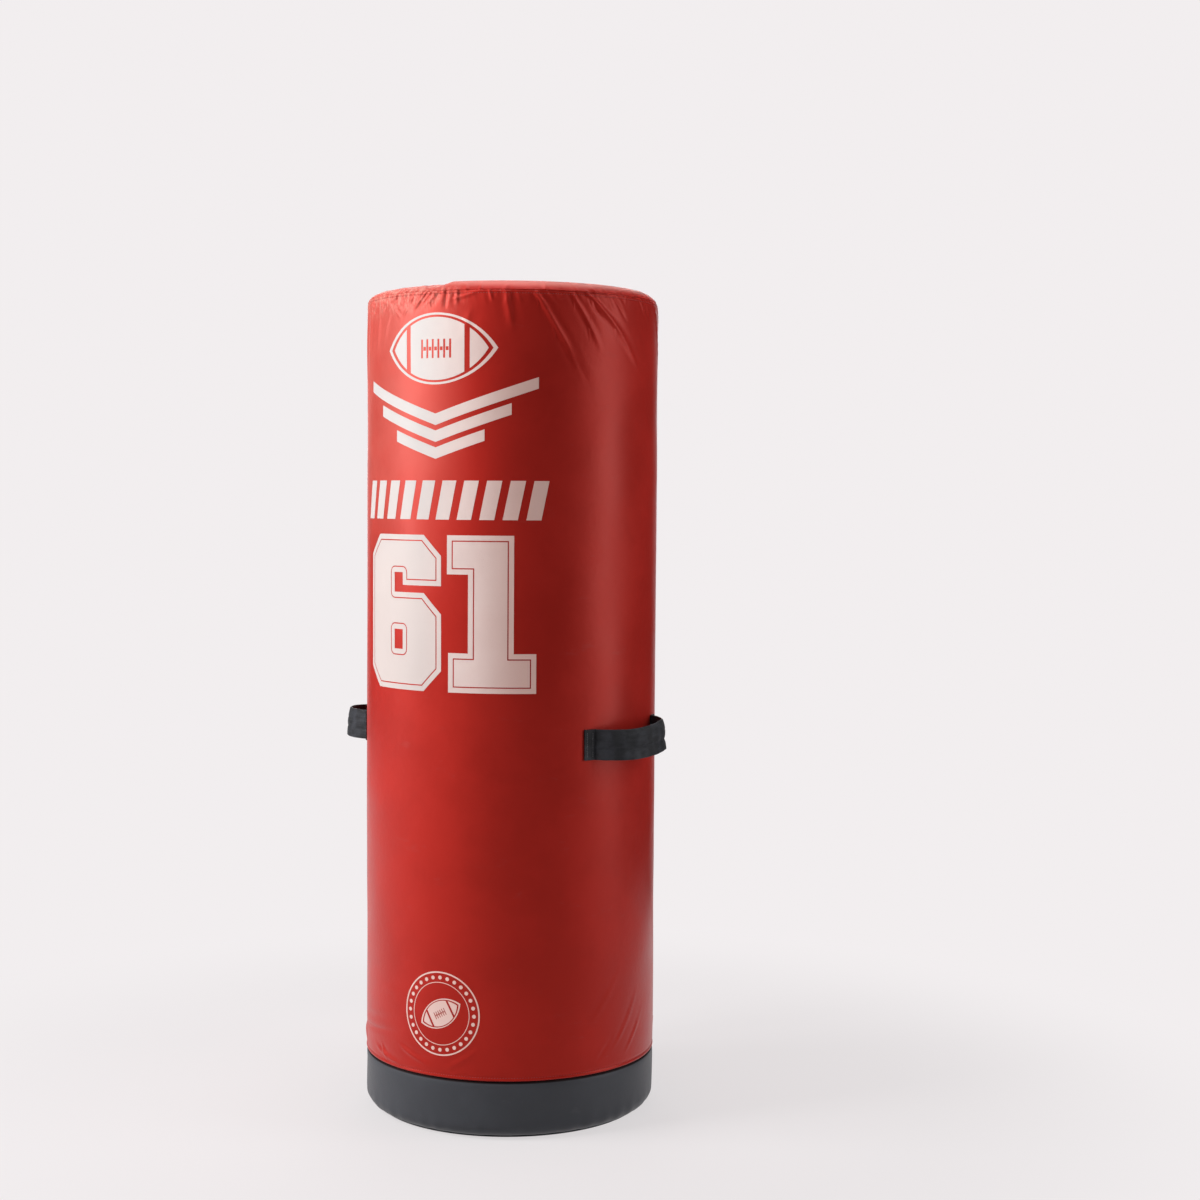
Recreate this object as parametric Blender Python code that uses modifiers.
"""Stand-up tackling dummy: foam under a sewn vinyl cover, with a boot, two web handles and a rear zip.

Metres, +Z up. The origin is on the floor, under the middle of the dummy. The printed side of the
cover faces -Y, the handles are at the sides and the zip runs down the back, at +Y.
"""

import math

import bmesh
import bpy

# Body
BODY_RADIUS = 0.2286
BOOT_SEAM_Z = 0.090
TOP_SEAM_Z = 1.267
FACETS = 60
GAP = 0.0003

# Cover
COVER_THICKNESS = 0.0012
SEAM_ALLOWANCE = 0.012
TOP_DRAW_IN = 0.0025
TOP_DRAW_LENGTH = 0.012
BOOT_DRAW_IN = 0.0010
BOOT_DRAW_LENGTH = 0.008
SHOULDER_RADIUS = 0.016
CROWN_RISE = 0.0030
CROWN_EDGE_RISE = 0.0022
CROWN_RADIUS = 0.110

# Puckers where the top seam gathers the vinyl
PUCKER_DEPTH = 0.0035
PUCKER_LENGTH = 0.040
PUCKER_COUNT = 15
PUCKER_LEAN = 3.0
PUCKER_FRONT_SHARE = 0.45
PUCKER_DIP = 0.5

# Boot
BOOT_THICKNESS = 0.0020
BOOT_EDGE_RADIUS = 0.022
FLOOR_THICKNESS = 0.0025
FLOOR_OVERLAP = 0.003

# Foam
CORE_RADIUS = 0.130
TOP_PAD_DEPTH = 0.050
BASE_PAD_THICKNESS = 0.025

# Web handles
HANDLE_Z = 0.596
HANDLE_SHIFT_DEG = 7.0
HANDLE_FREE_HALF_DEG = 18.7
HANDLE_SEWN_DEG = 2.6
HANDLE_BOW = {"right": 0.047, "left": 0.053}
HANDLE_BOW_POWER = 0.8
HANDLE_GRIP_SHARE = 0.94
WEB_WIDTH = 0.0455
WEB_THICKNESS = 0.0028
WEB_POINTS = 22
BACKING_HALF_DEG = 26.0
BACKING_WIDTH = 0.070
BACKING_THICKNESS = 0.0012
BACKING_FACETS = 16

# Zip
ZIP_BOTTOM_Z = 0.140
ZIP_TOP_MARGIN = 0.102
ZIP_SLOT_HALF = 0.0095
TAPE_OVERRUN = 0.020
TAPE_HALF_WIDTH = 0.018
TAPE_THICKNESS = 0.0008
CHAIN_HALF_WIDTH = 0.0050
CHAIN_THICKNESS = 0.0040
STOP_LENGTH = 0.006
STOP_PROUD = 0.0012
SLIDER_LENGTH = 0.026
SLIDER_WALL = 0.0020
SLIDER_CLEARANCE = 0.0004
CROWN_LOOP_WIDTH = 0.0026
CROWN_LOOP_LENGTH = 0.016
CROWN_LOOP_GAP = 0.0030
CROWN_LOOP_WALL = 0.0020
PULL_BAR_RADIUS = 0.0009
PULL_LENGTH = 0.042
PULL_WIDTH = 0.0090
PULL_RAIL = 0.0024
PULL_TIP_HOLE = 0.0020
PATCH_HEIGHT = 0.030
PATCH_HALF_DEG = 6.0
PATCH_THICKNESS = 0.0010
PATCH_LAP = 0.0015
FINE_BEVEL = 0.0004

# Derived radii and heights
SEAM_RADIUS = BODY_RADIUS - TOP_DRAW_IN
TOP_FLANGE_RADIUS = SEAM_RADIUS - COVER_THICKNESS - GAP
TOP_PANEL_Z = TOP_SEAM_Z + GAP
BOOT_TOP_Z = BOOT_SEAM_Z - GAP
BOOT_BOTTOM_Z = FLOOR_THICKNESS + GAP
BASE_PAD_TOP_Z = BOOT_BOTTOM_Z + BASE_PAD_THICKNESS
FOAM_SPLIT_Z = TOP_SEAM_Z - TOP_PAD_DEPTH
COVER_INNER_RADIUS = BODY_RADIUS - COVER_THICKNESS
FLAT_OF_FACET = math.cos(math.pi / FACETS)
HANDLE_CHORD_RADIUS = BODY_RADIUS * math.cos(math.radians(HANDLE_FREE_HALF_DEG))
ZIP_TOP_Z = TOP_SEAM_Z - ZIP_TOP_MARGIN
TAPE_FACE_Y = (
    COVER_INNER_RADIUS
    - TAPE_HALF_WIDTH * math.tan(math.pi / FACETS)
    - GAP
)
TAPE_BACK_Y = TAPE_FACE_Y - TAPE_THICKNESS
CHAIN_MIDDLE_Y = (TAPE_FACE_Y + TAPE_BACK_Y) / 2
CHAIN_FACE_Y = CHAIN_MIDDLE_Y + CHAIN_THICKNESS / 2
CHAIN_BACK_Y = CHAIN_MIDDLE_Y - CHAIN_THICKNESS / 2
PLATE_BACK_Y = CHAIN_FACE_Y + SLIDER_CLEARANCE
PLATE_FACE_Y = PLATE_BACK_Y + SLIDER_WALL
PULL_AXIS_Y = PLATE_FACE_Y + CROWN_LOOP_GAP / 2
SLIDER_Z = ZIP_BOTTOM_Z + STOP_LENGTH + GAP + SLIDER_LENGTH / 2


def body_radius(z):
    """Outer radius of the side cover: straight, and drawn in towards each seam."""
    top = TOP_DRAW_IN * math.exp((z - TOP_SEAM_Z) / TOP_DRAW_LENGTH)
    boot = BOOT_DRAW_IN * math.exp((BOOT_SEAM_Z - z) / BOOT_DRAW_LENGTH)
    return BODY_RADIUS - top - boot


def pucker_fade(z):
    """How much of the gathers is left at a height, 1 at the top seam."""
    return math.exp(-abs(TOP_SEAM_Z - z) / PUCKER_LENGTH)


def pucker(angle, z):
    """Depth of the gathers, deepest on the printed side, leaning round as they run down."""
    lean = PUCKER_LEAN * (TOP_SEAM_Z - z)
    wave = 0.5 + 0.5 * math.cos(PUCKER_COUNT * (angle + lean))
    side = 1.0 - PUCKER_FRONT_SHARE * (1.0 + math.sin(angle))
    return PUCKER_DEPTH * side * pucker_fade(z) * wave


def foam_radius(z):
    """Outer radius of the foam where it backs the side cover, clear of the deepest pucker."""
    return body_radius(z) - COVER_THICKNESS - GAP - PUCKER_DEPTH * pucker_fade(z)


def arc(centre_r, centre_z, radius, start_deg, end_deg, steps):
    """Points of an arc in a turned profile, as (radius, height)."""
    points = []
    for i in range(steps + 1):
        a = math.radians(start_deg + (end_deg - start_deg) * i / steps)
        points.append((centre_r + radius * math.cos(a), centre_z + radius * math.sin(a)))
    return points


def new_collection(name):
    collection = bpy.data.collections.new(name)
    bpy.context.scene.collection.children.link(collection)
    return collection


def clear_scene():
    for obj in list(bpy.data.objects):
        bpy.data.objects.remove(obj, do_unlink=True)
    for collection in list(bpy.data.collections):
        bpy.data.collections.remove(collection)


def new_material(name, colour, roughness, metallic=0.0):
    material = bpy.data.materials.new(name)
    material.use_nodes = True
    shader = material.node_tree.nodes["Principled BSDF"]
    shader.inputs["Base Color"].default_value = (*colour, 1.0)
    shader.inputs["Roughness"].default_value = roughness
    shader.inputs["Metallic"].default_value = metallic
    return material


clear_scene()
PARTS = new_collection("tackling_dummy")
CUTTERS = new_collection("cutters")

LOOKS = {
    "red_vinyl": ((0.55, 0.025, 0.018), 0.34, 0.0),
    "boot_vinyl": ((0.075, 0.080, 0.088), 0.55, 0.0),
    "webbing": ((0.020, 0.021, 0.024), 0.80, 0.0),
    "firm_foam": ((0.30, 0.34, 0.42), 0.95, 0.0),
    "soft_foam": ((0.78, 0.74, 0.60), 0.95, 0.0),
    "base_foam": ((0.06, 0.06, 0.07), 0.90, 0.0),
    "zip_tape": ((0.025, 0.025, 0.028), 0.85, 0.0),
    "zip_teeth": ((0.045, 0.045, 0.050), 0.45, 0.0),
    "zip_metal": ((0.52, 0.52, 0.53), 0.30, 1.0),
}


def new_part(name, mesh, look):
    """A named object with a material of its own."""
    obj = bpy.data.objects.new(name, mesh)
    mesh.materials.clear()
    mesh.materials.append(new_material(name, *LOOKS[look]))
    PARTS.objects.link(obj)
    return obj


def evaluated_mesh(obj):
    """The object's mesh with its modifiers, and the object removed."""
    graph = bpy.context.evaluated_depsgraph_get()
    mesh = bpy.data.meshes.new_from_object(obj.evaluated_get(graph))
    bpy.data.objects.remove(obj, do_unlink=True)
    return mesh


def turned_mesh(name, profile, closed):
    """A profile of (radius, height) points turned round Z.

    The profile runs down the outer side first. A closed one makes a ring, and an open one starts
    and ends on the axis.
    """
    mesh = bpy.data.meshes.new(name)
    edges = [(i, i + 1) for i in range(len(profile) - 1)]
    if closed:
        edges.append((len(profile) - 1, 0))
    mesh.from_pydata([(r, 0.0, z) for r, z in profile], edges, [])
    obj = bpy.data.objects.new(name, mesh)
    PARTS.objects.link(obj)
    screw = obj.modifiers.new("turn", "SCREW")
    screw.axis = "Z"
    screw.angle = 2 * math.pi
    screw.steps = FACETS
    screw.render_steps = FACETS
    screw.use_merge_vertices = True
    screw.merge_threshold = 0.00001
    return evaluated_mesh(obj)


def smooth(mesh, angle_deg=35.0):
    mesh.shade_smooth()
    mesh.set_sharp_from_angle(angle=math.radians(angle_deg))


def gather(mesh, dip_inside=0.0):
    """Press the puckers into a turned mesh; on the crown they also dip it between this radius and the seam."""
    for vertex in mesh.vertices:
        x, y, z = vertex.co
        radius = math.hypot(x, y)
        if radius <= dip_inside:
            continue
        angle = math.atan2(y, x)
        depth = pucker(angle, z)
        vertex.co.x -= depth * math.cos(angle)
        vertex.co.y -= depth * math.sin(angle)
        if z > TOP_PANEL_Z + COVER_THICKNESS:
            vertex.co.z -= PUCKER_DIP * depth


def extruded_mesh(name, outline, bottom_z, top_z):
    """A flat outline of (x, y) points, filled and given a height."""
    curve = bpy.data.curves.new(name, "CURVE")
    curve.dimensions = "2D"
    curve.fill_mode = "BOTH"
    curve.extrude = (top_z - bottom_z) / 2
    spline = curve.splines.new("POLY")
    spline.points.add(len(outline) - 1)
    for point, (x, y) in zip(spline.points, outline):
        point.co = (x, y, 0.0, 1.0)
    spline.use_cyclic_u = True
    obj = bpy.data.objects.new(name, curve)
    PARTS.objects.link(obj)
    mesh = evaluated_mesh(obj)
    work = bmesh.new()
    work.from_mesh(mesh)
    bmesh.ops.remove_doubles(work, verts=work.verts, dist=0.00001)
    bmesh.ops.translate(work, verts=work.verts, vec=(0.0, 0.0, (bottom_z + top_z) / 2))
    bmesh.ops.recalc_face_normals(work, faces=work.faces)
    work.to_mesh(mesh)
    work.free()
    return mesh


def box_mesh(name, low, high):
    """A box from its lowest to its highest corner."""
    work = bmesh.new()
    bmesh.ops.create_cube(work, size=1.0)
    for vertex in work.verts:
        vertex.co = [
            (a + b) / 2 + c * (b - a)
            for a, b, c in zip(low, high, vertex.co)
        ]
    mesh = bpy.data.meshes.new(name)
    work.to_mesh(mesh)
    work.free()
    return mesh


def new_cutter(name, mesh, parent=None):
    obj = bpy.data.objects.new(name, mesh)
    obj.hide_render = True
    obj.display_type = "WIRE"
    obj.parent = parent
    CUTTERS.objects.link(obj)
    return obj


def combine(obj, cutter, operation="DIFFERENCE"):
    modifier = obj.modifiers.new(cutter.name, "BOOLEAN")
    modifier.operation = operation
    modifier.solver = "EXACT"
    modifier.object = cutter


def bevel(obj, width, segments=1, angle_deg=40.0):
    modifier = obj.modifiers.new("soft edges", "BEVEL")
    modifier.width = width
    modifier.segments = segments
    modifier.limit_method = "ANGLE"
    modifier.angle_limit = math.radians(angle_deg)


def new_empty(name, location, turn_deg=0.0, parent=None):
    empty = bpy.data.objects.new(name, None)
    empty.empty_display_size = 0.03
    empty.location = location
    empty.rotation_euler = (0.0, 0.0, math.radians(turn_deg))
    empty.parent = parent
    PARTS.objects.link(empty)
    return empty


def arc_outline(inner_radius, thickness, half_deg, facets, middle_deg=0.0, centre_x=0.0):
    """Plan outline of a curved plate centred on the direction middle_deg."""
    outline = []
    for radius, way in ((inner_radius + thickness, 1), (inner_radius, -1)):
        for i in range(facets + 1):
            a = math.radians(middle_deg + way * half_deg * (2 * i / facets - 1))
            outline.append((radius * math.cos(a) - centre_x, radius * math.sin(a)))
    return outline


# Cover


def make_side_cover():
    """The wrap: a thin tube, gathered at the top seam and open along the zip."""
    below_top = (0.0, 0.010, 0.025, 0.050, 0.090, 0.150)
    above_boot = (0.250, 0.020, 0.006, 0.0)
    heights = [TOP_SEAM_Z - d for d in below_top] + [BOOT_SEAM_Z + d for d in above_boot]
    outer = [(body_radius(z), z) for z in heights]
    inner = [(r - COVER_THICKNESS, z) for r, z in reversed(outer)]
    mesh = turned_mesh("side_cover", outer + inner, closed=True)
    gather(mesh)
    smooth(mesh)
    cover = new_part("side_cover", mesh, "red_vinyl")
    slot = box_mesh(
        "zip_slot",
        (-ZIP_SLOT_HALF, CHAIN_BACK_Y, ZIP_BOTTOM_Z - GAP),
        (ZIP_SLOT_HALF, BODY_RADIUS + COVER_THICKNESS, ZIP_TOP_Z + GAP),
    )
    combine(cover, new_cutter("zip_slot", slot))


def make_top_cover():
    """The round top panel: a crown, a rounded shoulder and the flange sewn inside the wrap."""
    crown_z = TOP_PANEL_Z + SHOULDER_RADIUS
    centre_r = SEAM_RADIUS - SHOULDER_RADIUS
    inner_radius = SHOULDER_RADIUS - COVER_THICKNESS
    inner_start = math.degrees(math.asin(COVER_THICKNESS / inner_radius))
    outer = [(0.0, crown_z + CROWN_RISE), (CROWN_RADIUS, crown_z + CROWN_EDGE_RISE)]
    outer += arc(centre_r, TOP_PANEL_Z, SHOULDER_RADIUS, 90.0, 0.0, 3)
    outer.append((TOP_FLANGE_RADIUS, TOP_PANEL_Z))
    outer.append((TOP_FLANGE_RADIUS, TOP_SEAM_Z - SEAM_ALLOWANCE))
    inner = [(TOP_FLANGE_RADIUS - COVER_THICKNESS, TOP_SEAM_Z - SEAM_ALLOWANCE)]
    inner.append((TOP_FLANGE_RADIUS - COVER_THICKNESS, TOP_PANEL_Z + COVER_THICKNESS))
    inner += arc(centre_r, TOP_PANEL_Z, inner_radius, inner_start, 90.0, 3)
    inner.append((CROWN_RADIUS, crown_z + CROWN_EDGE_RISE - COVER_THICKNESS))
    inner.append((0.0, crown_z + CROWN_RISE - COVER_THICKNESS))
    mesh = turned_mesh("top_cover", outer + inner, closed=False)
    gather(mesh, dip_inside=CROWN_RADIUS + GAP)
    smooth(mesh)
    new_part("top_cover", mesh, "red_vinyl")


def make_boot():
    """The boot: a wall with a rounded foot and a flange sewn inside the wrap, and its floor."""
    flange = body_radius(BOOT_SEAM_Z) - COVER_THICKNESS - GAP
    centre_r = BODY_RADIUS - BOOT_EDGE_RADIUS
    centre_z = BOOT_BOTTOM_Z + BOOT_EDGE_RADIUS
    shoulder_z = BOOT_TOP_Z - BOOT_DRAW_LENGTH
    outer = [(flange, BOOT_SEAM_Z + SEAM_ALLOWANCE), (flange, BOOT_TOP_Z)]
    outer.append((body_radius(BOOT_SEAM_Z), BOOT_TOP_Z))
    outer.append((BODY_RADIUS, shoulder_z))
    outer += arc(centre_r, centre_z, BOOT_EDGE_RADIUS, 0.0, -90.0, 4)
    inner = arc(centre_r, centre_z, BOOT_EDGE_RADIUS - BOOT_THICKNESS, -90.0, 0.0, 4)
    inner.append((BODY_RADIUS - BOOT_THICKNESS, shoulder_z))
    inner.append((flange - BOOT_THICKNESS, BOOT_TOP_Z - BOOT_THICKNESS))
    inner.append((flange - BOOT_THICKNESS, BOOT_SEAM_Z + SEAM_ALLOWANCE))
    mesh = turned_mesh("boot_wall", outer + inner, closed=True)
    smooth(mesh)
    new_part("boot_wall", mesh, "boot_vinyl")

    floor_radius = centre_r + FLOOR_OVERLAP
    floor = [(0.0, FLOOR_THICKNESS), (floor_radius, FLOOR_THICKNESS), (floor_radius, 0.0), (0.0, 0.0)]
    mesh = turned_mesh("boot_floor", floor, closed=False)
    smooth(mesh)
    new_part("boot_floor", mesh, "boot_vinyl")


# Foam


def make_foam():
    """The base pad in the boot, the core and its sleeve, and the crowned top pad."""
    boot_inner = BODY_RADIUS - BOOT_THICKNESS - GAP
    foot_r = BODY_RADIUS - BOOT_EDGE_RADIUS
    foot_z = BOOT_BOTTOM_Z + BOOT_EDGE_RADIUS
    base = [(0.0, BASE_PAD_TOP_Z), (boot_inner, BASE_PAD_TOP_Z)]
    base += arc(foot_r, foot_z, BOOT_EDGE_RADIUS - BOOT_THICKNESS - GAP, 0.0, -90.0, 4)
    base.append((foot_r - GAP, BOOT_BOTTOM_Z + BOOT_THICKNESS + GAP))
    base.append((foot_r - GAP, BOOT_BOTTOM_Z))
    base.append((0.0, BOOT_BOTTOM_Z))
    new_part("foam_base_pad", turned_mesh("foam_base_pad", base, closed=False), "base_foam")

    low = BASE_PAD_TOP_Z + GAP
    high = FOAM_SPLIT_Z - GAP
    core = [(0.0, high), (CORE_RADIUS, high), (CORE_RADIUS, low), (0.0, low)]
    new_part("foam_core", turned_mesh("foam_core", core, closed=False), "firm_foam")

    flange_inner = body_radius(BOOT_SEAM_Z) - COVER_THICKNESS - BOOT_THICKNESS - 2 * GAP
    flange_top = BOOT_SEAM_Z + SEAM_ALLOWANCE + GAP
    flange_foot = BOOT_TOP_Z - BOOT_DRAW_LENGTH - GAP
    below_pad = (0.0, 0.030, 0.080)
    sleeve = [(foam_radius(z), z) for z in [high - d for d in below_pad] + [flange_top]]
    sleeve += [(flange_inner, flange_top), (flange_inner, flange_foot)]
    sleeve += [(boot_inner, flange_foot), (boot_inner, low)]
    sleeve += [(CORE_RADIUS + GAP, low), (CORE_RADIUS + GAP, high)]
    mesh = turned_mesh("foam_sleeve", sleeve, closed=True)
    sleeve_part = new_part("foam_sleeve", mesh, "soft_foam")
    relief = box_mesh(
        "zip_relief",
        (-TAPE_HALF_WIDTH - GAP, CHAIN_BACK_Y - GAP, ZIP_BOTTOM_Z - TAPE_OVERRUN - GAP),
        (TAPE_HALF_WIDTH + GAP, BODY_RADIUS, ZIP_TOP_Z + TAPE_OVERRUN + GAP),
    )
    combine(sleeve_part, new_cutter("zip_relief", relief))
    for side in HANDLE_BOW:
        combine(sleeve_part, backing_relief(side))

    crown_z = TOP_PANEL_Z + SHOULDER_RADIUS - COVER_THICKNESS - GAP - PUCKER_DIP * PUCKER_DEPTH
    shoulder = SHOULDER_RADIUS - COVER_THICKNESS - GAP
    neck = TOP_FLANGE_RADIUS - COVER_THICKNESS - GAP - PUCKER_DEPTH
    neck_z = TOP_SEAM_Z - SEAM_ALLOWANCE - GAP
    centre_r = SEAM_RADIUS - SHOULDER_RADIUS - PUCKER_DEPTH
    pad = [(0.0, crown_z + CROWN_RISE), (CROWN_RADIUS, crown_z + CROWN_EDGE_RISE)]
    pad += arc(centre_r, crown_z - shoulder, shoulder, 90.0, 30.0, 2)
    pad += [(neck, TOP_PANEL_Z), (neck, neck_z), (foam_radius(neck_z), neck_z)]
    pad += [(foam_radius(FOAM_SPLIT_Z), FOAM_SPLIT_Z), (0.0, FOAM_SPLIT_Z)]
    new_part("foam_top_pad", turned_mesh("foam_top_pad", pad, closed=False), "soft_foam")


# Web handles


def handle_turn(side):
    """Direction of a handle's middle round Z, in degrees, a little forward of the side."""
    return -HANDLE_SHIFT_DEG if side == "right" else 180.0 + HANDLE_SHIFT_DEG


def web_path(bow):
    """Inner face of the webbing in plan, from one sewn end to the other, with the chord at x = 0."""
    free = math.radians(HANDLE_FREE_HALF_DEG)
    sewn = math.radians(HANDLE_FREE_HALF_DEG + HANDLE_SEWN_DEG)
    base = BODY_RADIUS + GAP
    stations = [(-sewn, 0.0), (-(sewn + free) / 2, 0.0)]
    for i in range(WEB_POINTS + 1):
        t = math.sin(math.pi / 2 * (2 * i / WEB_POINTS - 1))
        stations.append((free * t, bow * max(0.0, 1.0 - t * t) ** HANDLE_BOW_POWER))
    stations += [((sewn + free) / 2, 0.0), (sewn, 0.0)]
    return [
        ((base + lift) * math.cos(a) - HANDLE_CHORD_RADIUS, (base + lift) * math.sin(a))
        for a, lift in stations
    ]


def web_outline(bow):
    """Plan outline of the webbing: its inner face, and its outer face one thickness out."""
    inner = web_path(bow)
    outer = []
    for i, (x, y) in enumerate(inner):
        x0, y0 = inner[max(i - 1, 0)]
        x1, y1 = inner[min(i + 1, len(inner) - 1)]
        length = math.hypot(x1 - x0, y1 - y0)
        outer.append((x + WEB_THICKNESS * (y1 - y0) / length, y - WEB_THICKNESS * (x1 - x0) / length))
    return outer + inner[::-1]


def backing_relief(side):
    """Cutter that leaves room in the foam for a handle's backing patch."""
    half = BACKING_WIDTH / 2 + GAP
    inner = backing_inner_radius() * math.cos(math.radians(BACKING_HALF_DEG / BACKING_FACETS)) - GAP
    extra_deg = math.degrees(GAP / BODY_RADIUS)
    outline = arc_outline(
        inner,
        BODY_RADIUS - inner,
        BACKING_HALF_DEG + extra_deg,
        BACKING_FACETS,
        handle_turn(side),
    )
    mesh = extruded_mesh(f"backing_relief_{side}", outline, HANDLE_Z - half, HANDLE_Z + half)
    return new_cutter(f"backing_relief_{side}", mesh)


def backing_inner_radius():
    return COVER_INNER_RADIUS * FLAT_OF_FACET - GAP - BACKING_THICKNESS


def make_handle(side):
    """A webbing loop: its free part swings on the chord between its two sewn ends."""
    turn = handle_turn(side)
    centre = math.radians(turn)
    place = (
        HANDLE_CHORD_RADIUS * math.cos(centre),
        HANDLE_CHORD_RADIUS * math.sin(centre),
        HANDLE_Z,
    )
    pivot = new_empty(f"handle_{side}_axis", place, turn)
    outline = web_outline(HANDLE_BOW[side])
    half = WEB_WIDTH / 2
    reach = (BODY_RADIUS + HANDLE_BOW[side]) * 2
    free_end = BODY_RADIUS * math.sin(math.radians(HANDLE_FREE_HALF_DEG))
    grip_end = free_end * HANDLE_GRIP_SHARE
    front = -1 if side == "right" else 1
    spans = {
        "grip": (-grip_end, grip_end),
        "front_end": sorted((front * (grip_end + GAP), front * reach)),
        "rear_end": sorted((-front * (grip_end + GAP), -front * reach)),
    }
    for piece, (low, high) in spans.items():
        name = f"handle_{side}_{piece}"
        mesh = extruded_mesh(name, outline, -half, half)
        smooth(mesh)
        web = new_part(name, mesh, "webbing")
        web.parent = pivot
        slab = box_mesh(f"{name}_slab", (-reach, low, -WEB_WIDTH), (reach, high, WEB_WIDTH))
        combine(web, new_cutter(f"{name}_slab", slab, pivot), "INTERSECT")

    outline = arc_outline(
        backing_inner_radius(), BACKING_THICKNESS, BACKING_HALF_DEG, BACKING_FACETS, turn
    )
    half = BACKING_WIDTH / 2
    mesh = extruded_mesh(f"handle_{side}_backing", outline, HANDLE_Z - half, HANDLE_Z + half)
    smooth(mesh)
    new_part(f"handle_{side}_backing", mesh, "webbing")


# Zip


def make_zip_tapes():
    """Two tapes under the edges of the slot, one at each side of the teeth."""
    for side, way in (("left", 1), ("right", -1)):
        xs = sorted((way * (CHAIN_HALF_WIDTH + GAP), way * TAPE_HALF_WIDTH))
        mesh = box_mesh(
            f"zip_tape_{side}",
            (xs[0], TAPE_BACK_Y, ZIP_BOTTOM_Z - TAPE_OVERRUN),
            (xs[1], TAPE_FACE_Y, ZIP_TOP_Z + TAPE_OVERRUN),
        )
        new_part(f"zip_tape_{side}", mesh, "zip_tape")


def make_zip_chain():
    """The joined teeth as one bar, with a stop across each end."""
    mesh = box_mesh(
        "zip_chain",
        (-CHAIN_HALF_WIDTH, CHAIN_BACK_Y, ZIP_BOTTOM_Z + STOP_LENGTH + GAP),
        (CHAIN_HALF_WIDTH, CHAIN_FACE_Y, ZIP_TOP_Z - STOP_LENGTH - GAP),
    )
    chain = new_part("zip_chain", mesh, "zip_teeth")
    bevel(chain, FINE_BEVEL)
    for name, low_z in (("zip_bottom_stop", ZIP_BOTTOM_Z), ("zip_top_stop", ZIP_TOP_Z - STOP_LENGTH)):
        mesh = box_mesh(
            name,
            (-CHAIN_HALF_WIDTH, CHAIN_BACK_Y, low_z),
            (CHAIN_HALF_WIDTH, CHAIN_FACE_Y + STOP_PROUD, low_z + STOP_LENGTH),
        )
        bevel(new_part(name, mesh, "zip_metal"), FINE_BEVEL)


def make_zip_slider():
    """The slider: a channel over the teeth, with the loop that its pull hangs from."""
    inner_half = CHAIN_HALF_WIDTH + SLIDER_CLEARANCE
    outer_half = inner_half + SLIDER_WALL
    half_length = SLIDER_LENGTH / 2
    place = new_empty("zip_slider_place", (0.0, 0.0, SLIDER_Z))
    mesh = box_mesh(
        "zip_slider",
        (-outer_half, TAPE_FACE_Y + SLIDER_CLEARANCE, -half_length),
        (outer_half, PLATE_FACE_Y, half_length),
    )
    slider = new_part("zip_slider", mesh, "zip_metal")
    slider.parent = place
    channel = box_mesh(
        "slider_channel",
        (-inner_half, TAPE_BACK_Y, -SLIDER_LENGTH),
        (inner_half, PLATE_BACK_Y, SLIDER_LENGTH),
    )
    combine(slider, new_cutter("slider_channel", channel, place))

    loop_top = PLATE_FACE_Y + CROWN_LOOP_GAP + CROWN_LOOP_WALL
    half_loop = CROWN_LOOP_LENGTH / 2
    loop = box_mesh(
        "slider_loop",
        (-CROWN_LOOP_WIDTH / 2, PLATE_FACE_Y - SLIDER_WALL / 2, -half_loop),
        (CROWN_LOOP_WIDTH / 2, loop_top, half_loop),
    )
    combine(slider, new_cutter("slider_loop", loop, place), "UNION")
    half_eye = half_loop - CROWN_LOOP_WALL
    eye = box_mesh(
        "slider_loop_eye",
        (-CROWN_LOOP_WIDTH, PLATE_FACE_Y, -half_eye),
        (CROWN_LOOP_WIDTH, PLATE_FACE_Y + CROWN_LOOP_GAP, half_eye),
    )
    combine(slider, new_cutter("slider_loop_eye", eye, place))
    bevel(slider, FINE_BEVEL)


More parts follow.
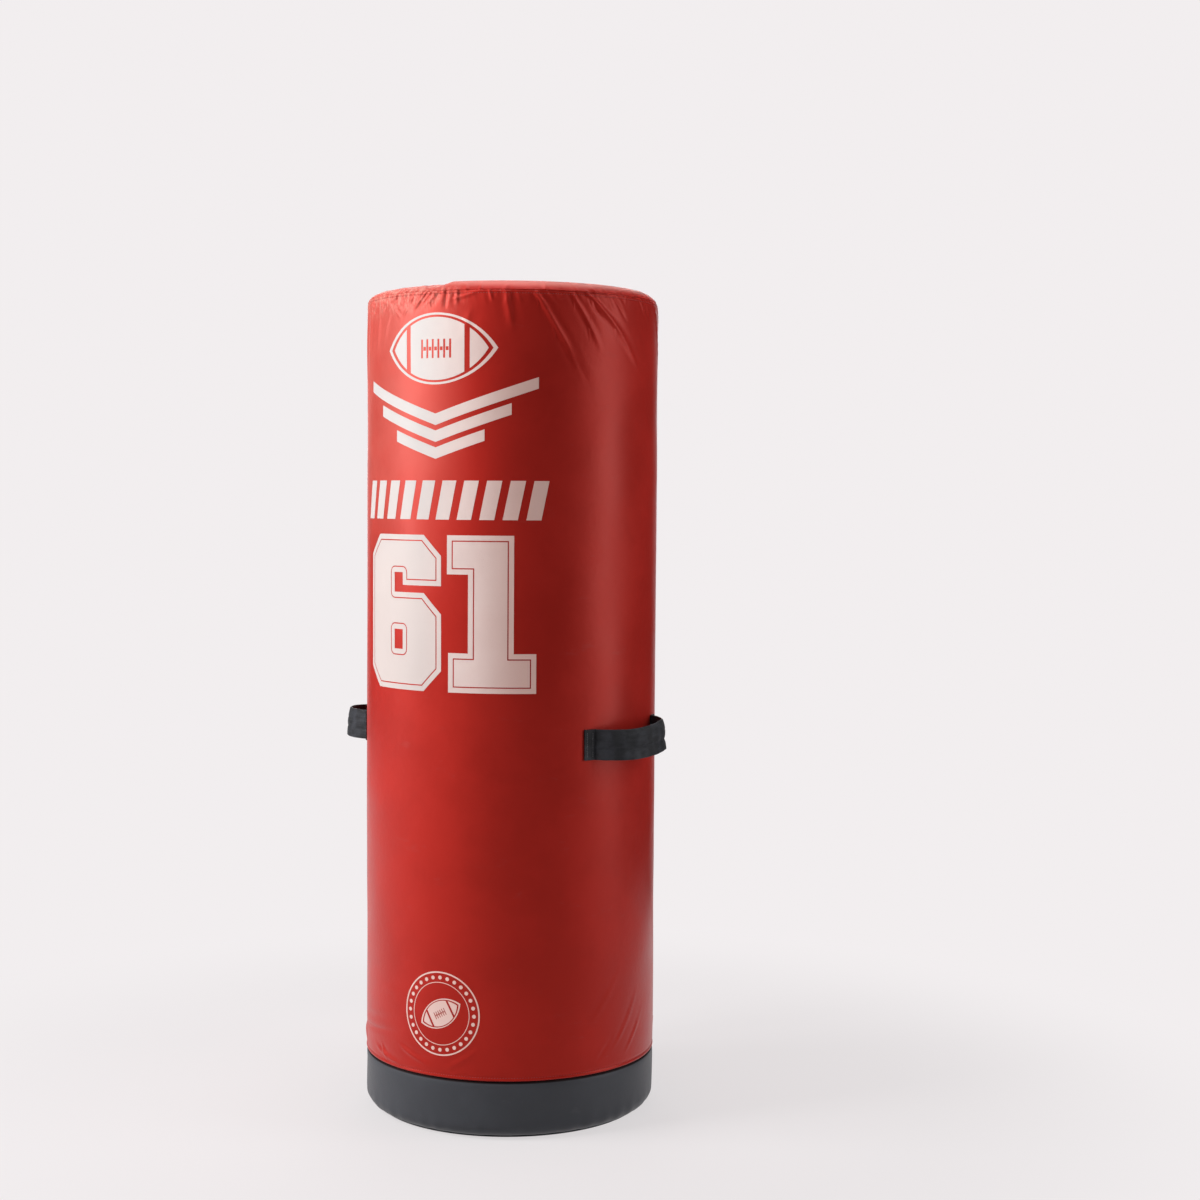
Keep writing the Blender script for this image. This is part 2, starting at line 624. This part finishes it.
def make_zip_pull():
    """The pull tab, hung by its cross bar under the slider's loop."""
    axis = new_empty("zip_pull_axis", (0.0, PULL_AXIS_Y, SLIDER_Z))
    eye_length = CROWN_LOOP_LENGTH / 2 + CROWN_LOOP_WALL
    half = PULL_WIDTH / 2
    mesh = box_mesh(
        "zip_pull",
        (-half, -PULL_BAR_RADIUS, -PULL_LENGTH),
        (half, PULL_BAR_RADIUS, PULL_BAR_RADIUS),
    )
    pull = new_part("zip_pull", mesh, "zip_metal")
    pull.parent = axis
    eye = box_mesh(
        "pull_eye",
        (PULL_RAIL - half, -2 * PULL_BAR_RADIUS, -eye_length),
        (half - PULL_RAIL, 2 * PULL_BAR_RADIUS, -PULL_BAR_RADIUS),
    )
    combine(pull, new_cutter("pull_eye", eye, axis))
    work = bmesh.new()
    bmesh.ops.create_cone(
        work,
        cap_ends=True,
        segments=16,
        radius1=PULL_TIP_HOLE,
        radius2=PULL_TIP_HOLE,
        depth=4 * PULL_BAR_RADIUS,
    )
    hole_mesh = bpy.data.meshes.new("pull_hole")
    work.to_mesh(hole_mesh)
    work.free()
    hole = new_cutter("pull_hole", hole_mesh, axis)
    hole.rotation_euler = (math.pi / 2, 0.0, 0.0)
    hole.location = (0.0, 0.0, half - PULL_LENGTH)
    combine(pull, hole)
    bevel(pull, FINE_BEVEL)


def make_zip_patches():
    """Vinyl patches sewn over the two ends of the zip."""
    ends = {
        "zip_bottom_patch": ZIP_BOTTOM_Z - PATCH_LAP - PATCH_HEIGHT,
        "zip_top_patch": ZIP_TOP_Z + PATCH_LAP,
    }
    for name, low_z in ends.items():
        facets = round(PATCH_HALF_DEG * FACETS / 180)
        outline = arc_outline(BODY_RADIUS + GAP, PATCH_THICKNESS, PATCH_HALF_DEG, facets, 90.0)
        mesh = extruded_mesh(name, outline, low_z, low_z + PATCH_HEIGHT)
        smooth(mesh)
        new_part(name, mesh, "red_vinyl")


make_side_cover()
make_top_cover()
make_boot()
make_foam()
for handle_side in HANDLE_BOW:
    make_handle(handle_side)
make_zip_tapes()
make_zip_chain()
make_zip_slider()
make_zip_pull()
make_zip_patches()
